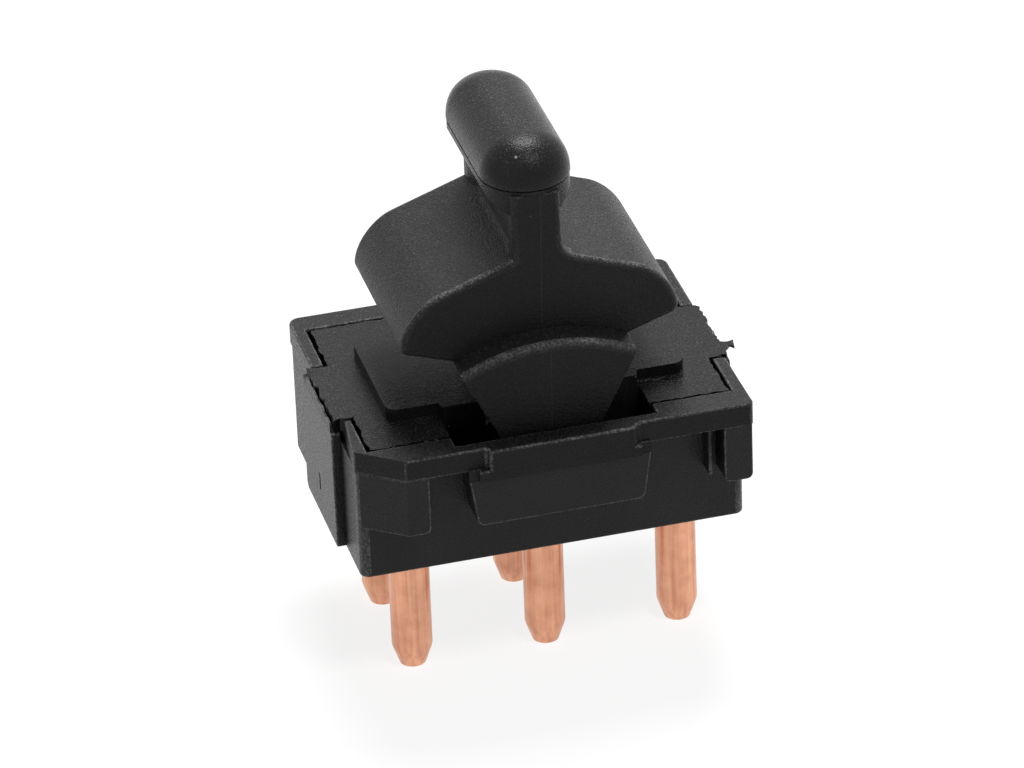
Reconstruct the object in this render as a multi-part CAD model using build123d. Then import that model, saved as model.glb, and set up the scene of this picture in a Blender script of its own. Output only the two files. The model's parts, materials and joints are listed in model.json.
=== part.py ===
from build123d import *
import math
import os

os.makedirs("parts", exist_ok=True)

# All sizes are in mm. The switch stands on its pin tips at z = 0, its pins point down, its
# front is -Y, and the rocker tips about a line along Y.

# ---- Contact pins
PIN_R = 1.25                    # a standard 2.5 mm round contact
PIN_OUT = 8.3                   # length of pin below the housing
PIN_TIP_R, PIN_TIP_H = 0.82, 1.3
SEAT_R = 1.5                    # thicker part of a pin that is pressed into the floor
RELIEF, RELIEF_DEPTH = 0.15, 0.1  # groove under the seat
EAR_X, EAR_Y, EAR_H = 1.95, 0.6, 0.5  # coined ears that key a pin into the floor
SNUG = 0.01                     # gap round a pin that is pressed in
ROW_FRONT, ROW_BACK = -4.2, 3.2

# ---- Housing
HALF_X = 11.95
DEPTH = 16.75
WALL_FRONT = -7.2
WALL_BACK = WALL_FRONT + DEPTH
WALL, FLOOR = 1.0, 1.2
FLOOR_Z = PIN_OUT + FLOOR       # upper face of the floor
CORNER_R = 0.6
PIN_X = HALF_X - 3.57           # the outer pins stand this far from the middle one
SLAB_X = HALF_X + 0.55          # thickening of the side walls
SLAB_IN = HALF_X - 0.05         # its inner face, beside the top frame
SLAB_FRONT, SLAB_BACK = -3.25, 4.35
PAD_FACE = WALL_FRONT - 1.85    # front of the corner pads
PAD_H = 3.85
BULGE_FACE, BULGE_H = WALL_FRONT - 2.15, 3.75
BULGE_TOP_X, BULGE_FOOT_X = 5.7, 5.15
BULGE_WALL = 0.95
GATE_X = 4.1                    # half width of the gap that the front cheek swings in
BARRIER_Y, BARRIER_T = 0.4, 0.8
BEARING_X, BEARING_T = 2.2, 1.35  # rear bearing block
TRUNNION_IN = 0.55              # how deep the front trunnion stands in its bearing
PEG_X, PEG_Y, PEG_H = 0.7, 0.4, 0.8   # half sizes and height of the locating pegs
PEG_LEFT, PEG_RIGHT, PEG_IN, PEG_REAR = 0.6, 0.85, 0.8, 2.95  # how far in they stand

# ---- Top frame
RIM_H = 7.6                     # height of the rim over the floor
RIM_Z = FLOOR_Z + RIM_H
LIP_Z = RIM_Z - 1.45            # lower edge of the lip
LIP_MID_Z = RIM_Z - 2.05        # the same, over the bulge
RIM_X, RIM_FRONT, RIM_BACK = HALF_X + 0.1, PAD_FACE - 0.1, WALL_BACK + 0.1
CHAMFER_X, CHAMFER_Y = 2.65, 2.1
RIM_MID, RIM_MID_X = RIM_FRONT - 0.5, 4.4   # the stepped middle
SLOT_X = 6.1                    # slot for the front cheek
SLOT_FRONT = RIM_FRONT + 0.85
PAD_Z, BULGE_Z = LIP_Z - PAD_H, LIP_Z - BULGE_H

# ---- Cover plate
PLATE_T = 0.9
PLATE_Z = RIM_Z - PLATE_T
SEAM = 0.2                      # gap between plate and rim
PLATE_X, PLATE_FRONT, PLATE_BACK = RIM_X - 1.0, WALL_FRONT + 0.03, RIM_BACK - 1.9
LEDGE = 0.75                    # shelf the plate lies on
TAB_X, TAB_FRONT, TAB_BACK = SLAB_X + 0.1, -3.15, 3.35
DECK_X, DECK_FRONT, DECK_BACK, DECK_H = PLATE_X - 1.8, -4.45, 4.5, 0.8
COLLAR_FRONT, COLLAR_BACK = DECK_FRONT - 0.6, DECK_BACK + 1.0
STEM_GAP_X, STEM_GAP_BACK = 3.3, 4.95
SKIRT_H = 1.8

# ---- Rocker. Heights of the wings are above the rim.
PIVOT_DROP = 2.2
PIVOT_Z = RIM_Z - PIVOT_DROP
TRUNNION_R = 1.0
RUN = 0.05                      # running clearance, on the radius
FACE = 5.8                      # front and back faces of the wings
NECK_X, FOOT_H, FOOT_R = 1.5, 10.3, 1.2
SHOULDER_FALL, BROW_FALL, TIP_FALL = 1.55, 2.64, 4.5   # how far these lie below the foot
TIP_EDGE, DROOP = 0.6, 1.0
SHOULDER_X, SHOULDER_H = 6.0, FOOT_H - SHOULDER_FALL
BROW_X, BROW_H = 7.66, FOOT_H - BROW_FALL  # a point on the arc from shoulder to tip
TIP_X, TIP_H, TIP_R = 8.6, FOOT_H - TIP_FALL, 0.5
CORNER_H = TIP_H - TIP_EDGE
INNER_X, INNER_H = 5.6, CORNER_H - DROOP   # inner end of the drooping underside
WING_EDGE = 0.3
GRIP_X, GRIP_Y, GRIP_MID_Y = 2.75, 6.4, 0.5
GRIP_H, PART_H = 2.54, 14.84    # height of the dome, and of its parting line over the rim
PART_Z = RIM_Z + PART_H
CUP_H, PART_STEP = 1.3, 0.08
WEB, FLANGE = 0.35, 1.0         # depth of the recess in the neck, and width of its flanges
RECESS_TOP = PART_Z - CUP_H - 0.14
CHEEK_FACE = -FACE - 1.95
HUB_R = 1.88                    # the flanks of the cheek run tangent to this hub
BARRIER_Z = PIVOT_Z - HUB_R - 0.42  # top of the barrier, clear of the hub
FAN_R, FAN_DROP = 11.7, 4.0     # arc on top of the cheek; its centre lies this far below the pivot
FAN_Z = PIVOT_Z - FAN_DROP
FAN_X = 5.4
STEM_BACK = 4.6
SKIN = 1.2                      # wall of the hollow wings
SLOPE = (FOOT_H - SHOULDER_H) / (SHOULDER_X - NECK_X)

# ---- Plungers and levers
PLUNGER_X = 0.45                # off the middle, so that each lever is held down on one side
PLUNGER_R, NOSE_R = 0.8, 0.5
LEVER_W, LEVER_T = 2.2, 0.35
LEVER_END = PIN_X + 1.12
FULCRUM_R = 0.3
FULCRUM_Z = FLOOR_Z + 0.6
TROUGH_Z = FULCRUM_Z + FULCRUM_R + 0.05  # underside of a lever in its middle trough
LEVER_Z = TROUGH_Z + 0.05       # the same, at its ends
TROUGH_X, TROUGH_RISE = 1.8, 8  # half width of the trough, and its slope in degrees
CRADLE_X, CRADLE_H, CRADLE_EAR = 1.3, 0.25, 0.45
TONGUE_X = 0.4                  # half width of the tongues at the middle of a lever
SLOT_GAP = 0.15                 # between a lever and the ears of its cradle
CONTACT_X, CONTACT_Y, CONTACT_H, WELD = 0.6, 0.9, 0.2, 0.01
BUTTON_R, BUTTON_H = 1.2, 0.3
REST_GAP = 0.02                 # between a moving contact and its fixed one, at rest
CONTACT_DROP = LEVER_Z - WELD - CONTACT_H - FLOOR_Z - BUTTON_H - REST_GAP
LEVER_REST = math.degrees(math.asin(CONTACT_DROP / (PIN_X + CONTACT_X)))
PLUNGER_Z = TROUGH_Z + LEVER_T + 0.14   # nose of a plunger, just clear of its lever
PLUNGER_TOP = PIVOT_Z + 0.1
BORE_TOP = PLUNGER_TOP + 3.4
WIRE_R, COIL_R, TURNS = 0.15, 0.5, 3
STRAP_T, STRAP_W, STRAP_Y = EAR_H, 1.6, -1.4


# ---- Helpers
def block(x0, x1, y0, y1, z0, z1):
    """A box, given by its faces."""
    return Pos((x0 + x1) / 2, (y0 + y1) / 2, (z0 + z1) / 2) * Box(x1 - x0, y1 - y0, z1 - z0)


def disc(r, x, y, z0, z1):
    """An upright cylinder."""
    return Pos(x, y, (z0 + z1) / 2) * Cylinder(r, z1 - z0)


def plan(points, z0, z1):
    """An upright solid on a plan outline."""
    return extrude(Plane.XY.offset(z0) * make_face(Polyline(*points, close=True)), z1 - z0)


def across(sketch, y0, y1):
    """A solid along Y from a sketch drawn as seen from the front, x across and z up."""
    return extrude(Plane((0, y1, 0), x_dir=(1, 0, 0), z_dir=(0, -1, 0)) * sketch, y1 - y0)


def rod_y(r, z, y0, y1):
    """A cylinder along Y at x = 0."""
    return across(Pos(0, z) * Circle(r), y0, y1)


def both_sides(points):
    """Closes a right-hand half outline with its mirror image."""
    return list(points) + [(-x, y) for x, y in reversed(points) if x]


def rounded(sketch, radius, *corners):
    """Rounds the named corners of a sketch."""
    picked = [min(sketch.vertices(), key=lambda v: math.hypot(v.X - x, v.Y - y)) for x, y in corners]
    return fillet(picked, radius)


def upright_edges(solid, *corners):
    """The vertical edges that stand over the given plan points."""
    edges = solid.edges().filter_by(Axis.Z)
    return [min(edges, key=lambda e: math.hypot(e.center().X - x, e.center().Y - y)) for x, y in corners]


# ---- Base housing
def front_pads():
    """The two corner pads that stand under the lip."""
    inner = WALL_FRONT + 0.1
    left = plan(
        [(-SLAB_IN, RIM_FRONT + CHAMFER_Y - 0.05), (CHAMFER_X - RIM_X + 0.05, PAD_FACE),
         (4 - HALF_X, PAD_FACE), (4 - HALF_X, inner), (0.65 - HALF_X, inner)],
        PAD_Z, LIP_Z,
    )
    x0, x1 = HALF_X - 1.75, HALF_X + 0.05
    outline = Pos(x0, PAD_Z) * Rectangle(x1 - x0, PAD_H, align=(Align.MIN, Align.MIN))
    right = across(rounded(outline, 0.4, (x0, PAD_Z), (x1, PAD_Z)), PAD_FACE, inner + 0.6)
    rib = block(x0 - 0.8, x0 - 0.55, PAD_FACE + 0.65, inner, PAD_Z + 0.3, LIP_Z)
    return left + right + rib


def bulge():
    """The panel that stands out at the front, hollow behind for the rocker's cheek."""
    foot = (BULGE_FOOT_X, BULGE_Z)
    face = make_face(Polyline(*both_sides([foot, (BULGE_TOP_X, LIP_Z)]), close=True))
    body = across(rounded(face, 0.5, foot, (-foot[0], foot[1])), BULGE_FACE, WALL_FRONT + 0.1)
    wide = 2 * BULGE_TOP_X
    return body - block(-wide, wide, BULGE_FACE - 1, SLOT_FRONT + 0.02, LIP_MID_Z, RIM_Z)


def bearing_slots(gap=RUN):
    """Drop-in bearings for the trunnions, open at the top. The top frame closes them."""
    r = TRUNNION_R + gap
    slot = make_face(Polyline((r, PIVOT_Z), (r, RIM_Z), (-r, RIM_Z), (-r, PIVOT_Z), close=True))
    slot += Pos(0, PIVOT_Z) * Circle(r)
    front, back = SLOT_FRONT, WALL_BACK - WALL
    return across(slot, front - TRUNNION_IN - 0.1, front + 0.1) + across(slot, back - BEARING_T - 0.1, back)


def ears(x, y, gap=0.0):
    """The coined ears of a pin, or with a gap the pocket that takes them."""
    wide, deep = EAR_X + gap, EAR_Y + gap
    return block(x - wide, x + wide, y - deep, y + deep, FLOOR_Z - EAR_H, FLOOR_Z)


def floor_grooves():
    """Channel for the supply strap, and keyed holes for the pins."""
    cut = strap_body(0.1)
    for x, y in PINS.values():
        cut += disc(SEAT_R + SNUG, x, y, PIN_OUT - 1, FLOOR_Z) + ears(x, y, SNUG)
    return cut


def side_slabs():
    """Thickened middles of the side walls, which rise beside the top frame to carry the tabs."""
    inner = HALF_X - 0.65
    slabs = block(-SLAB_X, SLAB_X, SLAB_FRONT, SLAB_BACK, PIN_OUT, PLATE_Z)
    slabs -= block(-inner, inner, 2 * SLAB_FRONT, 2 * SLAB_BACK, PIN_OUT - 1, RIM_Z)
    rear_feet = slabs.edges().filter_by(Axis.X).sort_by(Axis.Z)[:4].sort_by(Axis.Y)[-2:]
    return fillet(rear_feet, CORNER_R) - block(-SLAB_IN, SLAB_IN, 2 * SLAB_FRONT, 2 * SLAB_BACK, LIP_Z, RIM_Z)


def base_housing():
    shell = block(-HALF_X, HALF_X, WALL_FRONT, WALL_BACK, PIN_OUT, LIP_Z)
    corners = [(x, y) for x in (-HALF_X, HALF_X) for y in (WALL_FRONT, WALL_BACK)]
    shell = fillet(upright_edges(shell, *corners), CORNER_R)
    front, back = WALL_FRONT + WALL, WALL_BACK - WALL
    body = shell + side_slabs() + front_pads() + bulge()
    body -= block(WALL - HALF_X, HALF_X - WALL, front, back, FLOOR_Z, RIM_Z)
    # The gate lets the front cheek swing down into the bulge.
    body -= block(-GATE_X, GATE_X, BULGE_FACE + BULGE_WALL, front + 0.1, BULGE_Z + 0.8, RIM_Z)
    body += block(-BEARING_X, BEARING_X, back - BEARING_T, back + 0.1, FLOOR_Z, LIP_Z)
    # The barrier keeps the two rows of contacts apart, and leaves a way for the supply strap.
    low, high = BARRIER_Y - BARRIER_T / 2, BARRIER_Y + BARRIER_T / 2
    body += block(WALL - HALF_X, PIN_X - STRAP_W, low, high, FLOOR_Z, BARRIER_Z)
    for x, y in PEGS:
        body += block(x - PEG_X, x + PEG_X, y - PEG_Y, y + PEG_Y, LIP_Z - 0.5, LIP_Z + PEG_H)
    return body - bearing_slots() - floor_grooves()


# ---- Top frame
def rim_outline():
    """Plan of the lip, with its chamfered corner and stepped middle."""
    return [
        (-RIM_X, RIM_FRONT + CHAMFER_Y), (CHAMFER_X - RIM_X, RIM_FRONT), (-RIM_MID_X, RIM_FRONT),
        (-RIM_MID_X, RIM_MID), (RIM_MID_X, RIM_MID), (RIM_MID_X + 0.25, RIM_MID + 0.12),
        (RIM_MID_X + 0.45, RIM_FRONT - 0.1), (RIM_MID_X + 0.7, RIM_FRONT), (RIM_X, RIM_FRONT),
        (RIM_X, RIM_BACK), (-RIM_X, RIM_BACK), (-RIM_X, TAB_BACK), (0.37 - RIM_X, SLAB_FRONT),
    ]


def top_frame():
    ring = plan(rim_outline(), LIP_Z, RIM_Z)
    ring = fillet(upright_edges(ring, (RIM_X, RIM_BACK), (-RIM_X, RIM_BACK)), 0.7)
    sharp = [(RIM_X, RIM_FRONT), (-RIM_X, RIM_FRONT + CHAMFER_Y), (CHAMFER_X - RIM_X, RIM_FRONT)]
    ring = fillet(upright_edges(ring, *sharp), 0.25)
    ring += block(-RIM_MID_X - 0.6, RIM_MID_X + 0.6, RIM_MID + 0.05, SLOT_FRONT, LIP_MID_Z, LIP_Z + 0.1)
    # The plate lies in this recess, on a ledge all round.
    x, front, back = PLATE_X + SEAM, PLATE_FRONT - 0.08, PLATE_BACK + SEAM
    ring -= block(-x, x, front, back, PLATE_Z, RIM_Z + 1)
    ring -= block(LEDGE - x, x - LEDGE, front + LEDGE, back - LEDGE, LIP_Z - 1, RIM_Z)
    # Slot for the front cheek, and the gaps in the sides for the tabs and slabs.
    ring -= block(-SLOT_X, SLOT_X + 0.15, SLOT_FRONT, front + LEDGE + 1, LIP_MID_Z - 1, RIM_Z + 1)
    for side in (-1, 1):
        outside = side * 2 * HALF_X
        low, step = sorted((side * (SLAB_IN - 0.03), outside)), sorted((side * DECK_X, outside))
        ring -= block(*low, SLAB_FRONT - 0.05, SLAB_BACK + 0.05, LIP_Z - 1, PLATE_Z + 0.05)
        ring -= block(*step, SLAB_FRONT - 0.05, TAB_BACK + 0.1, PLATE_Z, RIM_Z + 1)
    for x, y in PEGS:
        wide, deep = PEG_X + RUN, PEG_Y + RUN
        ring -= block(x - wide, x + wide, y - deep, y + deep, LIP_Z - 1, LIP_Z + PEG_H + 0.1)
    return ring - (bearing_slots() & block(-RIM_X, RIM_X, RIM_MID, RIM_BACK, 0, PIVOT_Z + TRUNNION_R + RUN))


# ---- Cover plate
def plate_outline():
    """Plan of the plate. The outer edges of its tabs are torn."""
    right_tab = [(0.15, -3.1), (-0.02, -2.4), (0.12, -1.2), (0.0, 0.3), (0.16, 1.5), (0.02, 2.6), (0.2, 3.3)]
    left_tab = [(0.1, 3.3), (0.22, 2.2), (0.05, 1.1), (0.18, -0.2), (0.0, -1.5), (0.1, -3.1)]
    notch = SLOT_X + 0.15
    return (
        [(-PLATE_X, PLATE_FRONT), (-SLOT_X, PLATE_FRONT), (-SLOT_X, COLLAR_FRONT), (notch, COLLAR_FRONT)]
        + [(notch, PLATE_FRONT), (PLATE_X, PLATE_FRONT), (PLATE_X, TAB_FRONT)]
        + [(TAB_X - torn, y) for torn, y in right_tab]
        + [(PLATE_X, TAB_BACK), (PLATE_X, PLATE_BACK), (-PLATE_X, PLATE_BACK), (-PLATE_X, TAB_BACK)]
        + [(torn - TAB_X, y) for torn, y in left_tab] + [(-PLATE_X, TAB_FRONT)]
    )


def deck():
    """The raised part round the rocker, with a collar front and back."""
    low, high = RIM_Z - 0.1, RIM_Z + DECK_H
    side = block(-DECK_X, DECK_X, DECK_FRONT, DECK_BACK, low, high)
    side = fillet(side.edges().filter_by(Axis.Z), 0.7)
    front, back = SLOT_X - 0.1, STEM_GAP_X + 1
    collar = plan(
        [(-front, COLLAR_FRONT), (front, COLLAR_FRONT), (front + 0.3, DECK_FRONT + 0.4), (back, COLLAR_BACK),
         (-back, COLLAR_BACK), (-front - 0.3, DECK_FRONT + 0.4)],
        low, high,
    )
    top = side + collar
    return chamfer(top.faces().sort_by(Axis.Z)[-1].edges(), 0.12)


def flash():
    """A whisker torn off the right tab, and a fringe at the foot of the deck."""
    torn = [(-0.3, -2.7), (0.3, -1.9), (0.45, -2.25), (0.6, -1.35), (0.2, -1.5), (-0.3, -1.3)]
    whisker = plan([(TAB_X + x, y) for x, y in torn], RIM_Z - 0.22, RIM_Z - 0.06)
    ragged = [(0.0, -0.15), (0.9, -0.4), (1.5, -0.17), (2.4, -0.45), (3.0, 0.05), (0.0, 0.15)]
    fringe = plan([(SLOT_X + x, DECK_FRONT + y) for x, y in ragged], RIM_Z - 0.05, RIM_Z + 0.12)
    return whisker + fringe


def cover_plate():
    plate = plan(plate_outline(), PLATE_Z, RIM_Z) + deck()
    # Cored out underneath in four pockets.
    for side in (-1, 1):
        wide = sorted((side * (STEM_GAP_X + 0.7), side * (DECK_X - 0.85)))
        for y0, y1 in ((DECK_FRONT + 0.85, -0.3), (0.3, DECK_BACK - 0.8)):
            plate -= block(*wide, y0, y1, PLATE_Z - 1, RIM_Z)
    plate -= block(-STEM_GAP_X, STEM_GAP_X, COLLAR_FRONT - 1, STEM_GAP_BACK, PLATE_Z - 1, RIM_Z + 2)
    # A skirt hides the contacts from anyone looking into the front slot.
    for side in (-1, 1):
        wide = sorted((side * STEM_GAP_X, side * (SLOT_X + 1)))
        plate += block(*wide, COLLAR_FRONT, COLLAR_FRONT + 0.8, PLATE_Z - SKIRT_H, PLATE_Z + 0.1)
    return plate + flash()


# ---- Rocker
def above_rim(points):
    return [(x, RIM_Z + h) for x, h in points]


def wing_sketch():
    """Neck and wings seen from the front."""
    foot, shoulder, brow = above_rim([(NECK_X, FOOT_H), (SHOULDER_X, SHOULDER_H), (BROW_X, BROW_H)])
    tip, corner, inner = above_rim([(TIP_X, TIP_H), (TIP_X, CORNER_H), (INNER_X, INNER_H)])
    rest = Polyline(tip, corner, inner, (0, inner[1]), (0, PART_Z), (NECK_X, PART_Z), foot)
    half = make_face(Curve() + [Line(foot, shoulder), ThreePointArc(shoulder, brow, tip), rest])
    sketch = rounded(half + mirror(half, Plane.YZ), TIP_R, corner, (-corner[0], corner[1]))
    return rounded(sketch, FOOT_R, foot, (-foot[0], foot[1]))


def wings():
    """The wing block with its long edges eased, back and front."""
    body = across(wing_sketch(), -FACE, FACE)
    ends = [e for e in body.edges() if abs(abs(e.center().Y) - FACE) < 0.01 and abs(e.center().X) > 0.2]
    return chamfer([e for e in ends if RIM_Z + INNER_H + 0.1 < e.center().Z < PART_Z - 0.1], WING_EDGE)


def grip():
    """A capsule: the dome above the parting line, the cup under it."""
    sink = (GRIP_X**2 - GRIP_H**2) / (2 * GRIP_H)
    crown = RadiusArc((GRIP_X, PART_Z), (0, PART_Z + GRIP_H), -(GRIP_H + sink))
    dome = make_face(Curve() + [crown, Polyline((0, PART_Z + GRIP_H), (0, PART_Z), (GRIP_X, PART_Z))])
    cup = make_face(Polyline(
        (GRIP_X - PART_STEP, PART_Z), (GRIP_X - 0.2, PART_Z - 0.5), (NECK_X - 0.1, PART_Z - CUP_H),
        (0, PART_Z - CUP_H), (0, PART_Z), close=True))
    run = GRIP_Y - GRIP_X
    solid = None
    for half in (dome, cup):
        bar = across(half + mirror(half, Plane.YZ), GRIP_MID_Y - run, GRIP_MID_Y + run)
        for y in (GRIP_MID_Y - run, GRIP_MID_Y + run):
            upright = Plane((0, y, 0), x_dir=(1, 0, 0), z_dir=(0, -1, 0)) * half
            bar += revolve(upright, Axis((0, y, 0), (0, 0, 1)), 360)
        solid = bar if solid is None else solid + bar
    return solid


def fan(y0, y1):
    """The cheek: flanks tangent to the hub, closed by an arc whose front edge is eased."""
    rise = math.sqrt(FAN_R**2 - FAN_X**2)
    tip = (FAN_X, FAN_Z + rise)
    reach = math.hypot(FAN_X, tip[1] - PIVOT_Z)
    lean = math.atan2(FAN_X, tip[1] - PIVOT_Z) - math.asin(HUB_R / reach)
    touch = (HUB_R * math.cos(lean), PIVOT_Z - HUB_R * math.sin(lean))
    arc = ThreePointArc(tip, (0, FAN_Z + FAN_R), (-tip[0], tip[1]))
    flanks = Polyline((-tip[0], tip[1]), (-touch[0], touch[1]), touch, tip)
    cheek = across(make_face(Curve() + [arc, flanks]) + Pos(0, PIVOT_Z) * Circle(HUB_R), y0, y1)
    front_edges = [e for e in cheek.edges() if abs(e.center().Y - y0) < 0.01]
    return chamfer(max(front_edges, key=lambda e: e.center().Z), 0.3)


def wing_pockets():
    """Cores the wings from below, leaving a skin, a mid rib and the end walls."""
    x0, x1, roof = HUB_R + SKIN, SHOULDER_X - 0.4, FOOT_H + SLOPE * NECK_X - 1.15 * SKIN
    points = above_rim([
        (x0, INNER_H - 0.2), (x0, roof - SLOPE * x0), (x1, roof - SLOPE * x1), (BROW_X - 0.8, BROW_H - SKIN),
        (TIP_X - SKIN, TIP_H - 0.2), (TIP_X - SKIN, CORNER_H - 0.1), (INNER_X + 0.3, INNER_H + 0.1),
        (INNER_X, INNER_H - 0.2),
    ])
    pocket = make_face(Polyline(*points, close=True))
    pockets = pocket + mirror(pocket, Plane.YZ)
    return across(pockets, SKIN - FACE, -0.5) + across(pockets, 0.5, FACE - SKIN)


def neck_recesses():
    """The hollows in both sides of the neck, between its front and back flanges."""
    x0, x1 = NECK_X - WEB, NECK_X + 2.4
    lift = RIM_Z + FOOT_H + SLOPE * NECK_X
    low, high = (x0, lift - SLOPE * x0), (x0, RECESS_TOP)
    hollow = make_face(Polyline(low, high, (x1, RECESS_TOP + 0.5), (x1, lift - SLOPE * x1), close=True))
    return across(hollow + mirror(hollow, Plane.YZ), FLANGE - FACE, FACE - FLANGE)


def rocker():
    body = wings() + grip() - neck_recesses() + fan(CHEEK_FACE, 0.3 - FACE)
    body += block(-HUB_R, HUB_R, -FACE, STEM_BACK, PIVOT_Z, RIM_Z + INNER_H + 0.3)
    body += rod_y(HUB_R, PIVOT_Z, -FACE, STEM_BACK)
    body -= wing_pockets()
    # The trunnions reach into the bulge in front and the bearing block behind.
    body += rod_y(TRUNNION_R, PIVOT_Z, SLOT_FRONT - TRUNNION_IN, CHEEK_FACE + 0.1)
    body += rod_y(TRUNNION_R, PIVOT_Z, STEM_BACK - 0.1, WALL_BACK - WALL - 0.1)
    for x, y in ((PLUNGER_X, ROW_FRONT), (-PLUNGER_X, ROW_BACK)):
        body -= disc(PLUNGER_R + RUN, x, y, PIVOT_Z - HUB_R - 1, BORE_TOP)
    return body


# ---- Plungers and their springs
def plunger(x, y):
    """A pin with a blunt nose."""
    tip, top = PLUNGER_Z, PLUNGER_TOP
    nose = [(0, tip), (NOSE_R / 2, tip), (NOSE_R, tip + NOSE_R), (PLUNGER_R, tip + 1.1)]
    profile = make_face(Polyline(*nose, (PLUNGER_R, top), (0, top), close=True))
    return Pos(x, y, 0) * revolve(Plane.XZ * profile, Axis.Z, 360)


def coil(x, y):
    """Compression spring between the plunger and the end of its bore."""
    z0, z1 = PLUNGER_TOP + WIRE_R + 0.02, BORE_TOP - WIRE_R - 0.02
    path = Helix(pitch=(z1 - z0) / TURNS, height=z1 - z0, radius=COIL_R)
    section = Plane(path @ 0, z_dir=path % 0) * RegularPolygon(WIRE_R, 4)
    return Pos(x, y, z0) * sweep(section, path, is_frenet=True)


# ---- Contacts
def pin(x, y):
    """A round contact pin, tapered at its tip, with a seat and coined ears in the floor."""
    profile = [
        (0, 0), (PIN_TIP_R, 0), (PIN_R, PIN_TIP_H), (PIN_R, PIN_OUT - RELIEF),
        (PIN_R - RELIEF_DEPTH, PIN_OUT), (SEAT_R, PIN_OUT), (SEAT_R, FLOOR_Z), (0, FLOOR_Z),
    ]
    shank = revolve(Plane.XZ * make_face(Polyline(*profile, close=True)), Axis.Z, 360)
    return Pos(x, y, 0) * shank + ears(x, y)


def cradle(y):
    """Head of a middle terminal: the ridge a lever rocks on, between two slotted ears."""
    half = LEVER_W / 2
    y0, y1 = y - half - SLOT_GAP - CRADLE_EAR, y + half + SLOT_GAP + CRADLE_EAR
    head = block(-CRADLE_X, CRADLE_X, y0, y1, FLOOR_Z, FLOOR_Z + CRADLE_H)
    head += block(-FULCRUM_R, FULCRUM_R, y0, y1, FLOOR_Z, FULCRUM_Z)
    head += across(Pos(0, FULCRUM_Z) * Circle(FULCRUM_R), y0, y1)
    for side in (-1, 1):
        wide = sorted((side * (TONGUE_X + SLOT_GAP), side * (CRADLE_X - SLOT_GAP)))
        for edge in ((y0, y0 + CRADLE_EAR), (y1 - CRADLE_EAR, y1)):
            head += block(*wide, *edge, FLOOR_Z, LEVER_Z + 0.6)
    return head


def lever(y, rest):
    """A bent contact strip on its ridge, tipped onto its rest contact."""
    rise = TROUGH_X * math.tan(math.radians(TROUGH_RISE))
    under = [(LEVER_END, LEVER_Z), (TROUGH_X + 1.2, LEVER_Z), (TROUGH_X, TROUGH_Z + rise), (0, TROUGH_Z)]
    lower = under + [(-x, z) for x, z in reversed(under[:-1])]
    upper = [(x, z + LEVER_T) for x, z in reversed(lower)]
    half = LEVER_W / 2
    strip = across(make_face(Polyline(*lower, *upper, close=True)), y - half, y + half)
    # Two tongues stand in the slots of the cradle and stop the strip from sliding.
    reach = half + SLOT_GAP + CRADLE_EAR - 0.1
    strip += block(-TONGUE_X, TONGUE_X, y - reach, y + reach, TROUGH_Z + 0.06, TROUGH_Z + LEVER_T)
    corners = [(x, y + side) for x in (-LEVER_END, LEVER_END) for side in (-half, half)]
    return tipped(chamfer(upright_edges(strip, *corners), 0.4), y, rest)


def moving_contacts(y, rest):
    """The two short lengths of contact strip welded under the ends of a lever."""
    top, wide, deep = LEVER_Z - WELD, CONTACT_X, CONTACT_Y
    pads = [block(x - wide, x + wide, y - deep, y + deep, top - CONTACT_H, top) for x in (-PIN_X, PIN_X)]
    return tipped(Compound(children=pads), y, rest)


def tipped(shape, y, angle):
    """Turns a shape about the fulcrum of a lever. A positive angle lowers its +X end."""
    return shape.rotate(Axis((0, y, FULCRUM_Z), (0, 1, 0)), angle)


def button(x, y):
    """A fixed contact, welded on the head of a pin or on the strap."""
    return disc(BUTTON_R, x, y, FLOOR_Z, FLOOR_Z + BUTTON_H)


def strap_body(gap=0.0):
    """The supply strap: ring, run between the rows, and landing pad."""
    w = STRAP_W / 2 + gap
    z0, z1 = FLOOR_Z - STRAP_T, FLOOR_Z
    path = disc(EAR_X + 0.55 + gap, -PIN_X, ROW_FRONT, z0, z1)
    path += block(-PIN_X - w, -PIN_X + w, ROW_FRONT, STRAP_Y + w, z0, z1)
    path += block(-PIN_X - w, PIN_X + w, STRAP_Y - w, STRAP_Y + w, z0, z1)
    path += block(PIN_X - w, PIN_X + w, STRAP_Y - w, ROW_BACK, z0, z1)
    return path + disc(BUTTON_R + 0.5 + gap, PIN_X, ROW_BACK, z0, z1)


def supply_strap():
    x, y = PINS["front_left"]
    return strap_body() - disc(SEAT_R + SNUG, x, y, PIN_OUT, RIM_Z) - ears(x, y, SNUG)


PINS = {
    "front_left": (-PIN_X, ROW_FRONT), "front_middle": (0, ROW_FRONT), "front_right": (PIN_X, ROW_FRONT),
    "back_left": (-PIN_X, ROW_BACK), "back_middle": (0, ROW_BACK),
}
PEGS = [(CHAMFER_X - RIM_X + PEG_LEFT, PAD_FACE + PEG_IN), (HALF_X - PEG_RIGHT, PAD_FACE + PEG_IN)]
PEGS += [(side * (HALF_X - PEG_REAR), WALL_BACK - WALL / 2) for side in (-1, 1)]

pieces = {"base_housing": base_housing(), "top_frame": top_frame(), "cover_plate": cover_plate()}
pieces["rocker"] = rocker()
for name, (x, y) in PINS.items():
    pieces["terminal_" + name] = pin(x, y) + cradle(y) if x == 0 else pin(x, y)
for end, y, side in (("front", ROW_FRONT, 1), ("back", ROW_BACK, -1)):
    pieces["plunger_" + end] = plunger(side * PLUNGER_X, y)
    pieces["plunger_spring_" + end] = coil(side * PLUNGER_X, y)
    pieces["contact_lever_" + end] = lever(y, side * LEVER_REST)
    pieces["moving_contacts_" + end] = moving_contacts(y, side * LEVER_REST)
    for hand, x in (("left", -PIN_X), ("right", PIN_X)):
        pieces[f"fixed_contact_{end}_{hand}"] = button(x, y)
pieces["supply_strap"] = supply_strap()

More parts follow.
